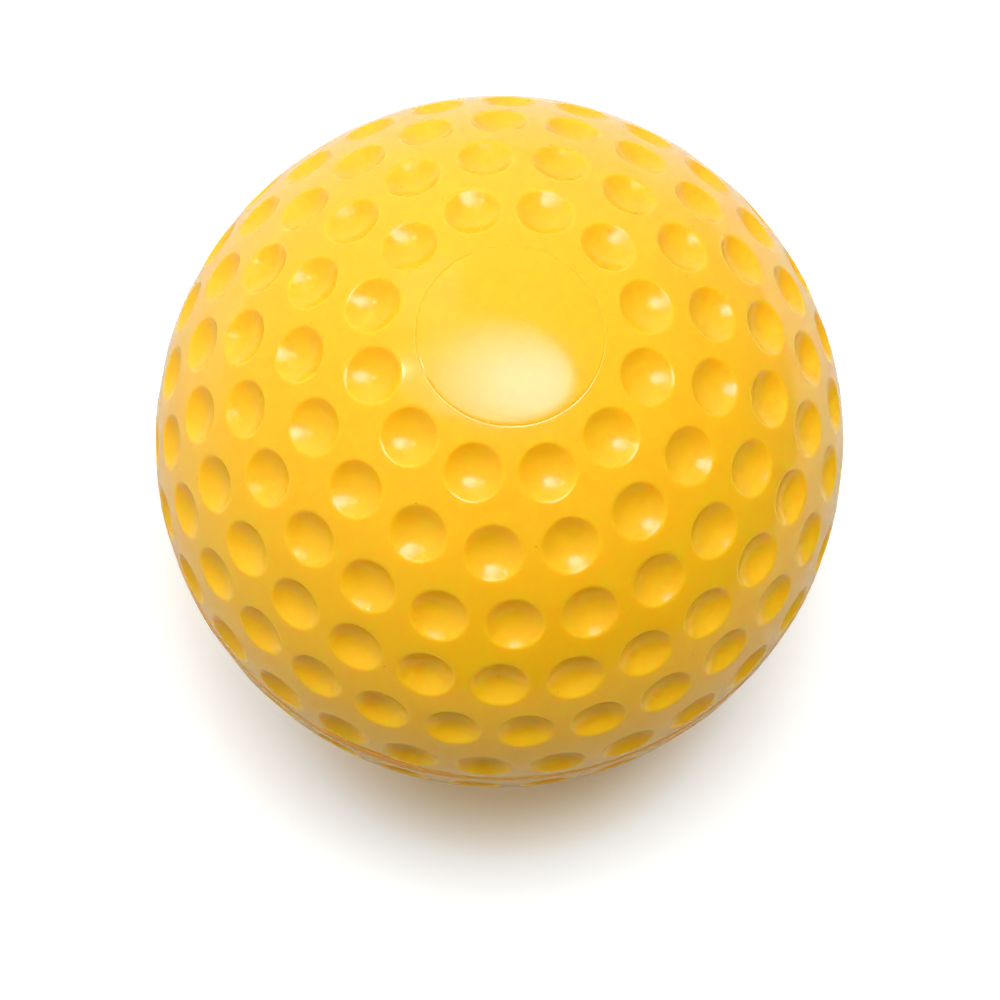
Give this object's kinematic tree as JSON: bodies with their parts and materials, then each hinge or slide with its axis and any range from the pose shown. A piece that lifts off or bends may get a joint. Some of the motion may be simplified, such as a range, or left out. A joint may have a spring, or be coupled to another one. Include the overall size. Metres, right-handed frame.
{
  "type": "hurling ball",
  "caption": "Round dimpled hurling ball: moulded half covers welded at the equator round a foam core, with a smooth plug at each pole, made to be struck with a stick.",
  "frame": {"origin": "centre of the ball, on the joint plane between the two half covers", "axes": "+Z along the pole axis towards the upper plug, +Y over the meridian on which every ring of dimples starts, +X to the right of it"},
  "size_m": [0.0702, 0.0702, 0.072],
  "materials": {
    "cover": "gloss, as moulded",
    "seam": "satin, trimmed and buffed",
    "plug": "high gloss, as moulded",
    "core": "matt closed-cell foam"
  },
  "bodies": {
    "root": {"upper_cover": "cover", "lower_cover": "cover", "seam_bead": "seam", "upper_plug": "plug", "lower_plug": "plug", "core": "core"}
  },
  "joints": []
}
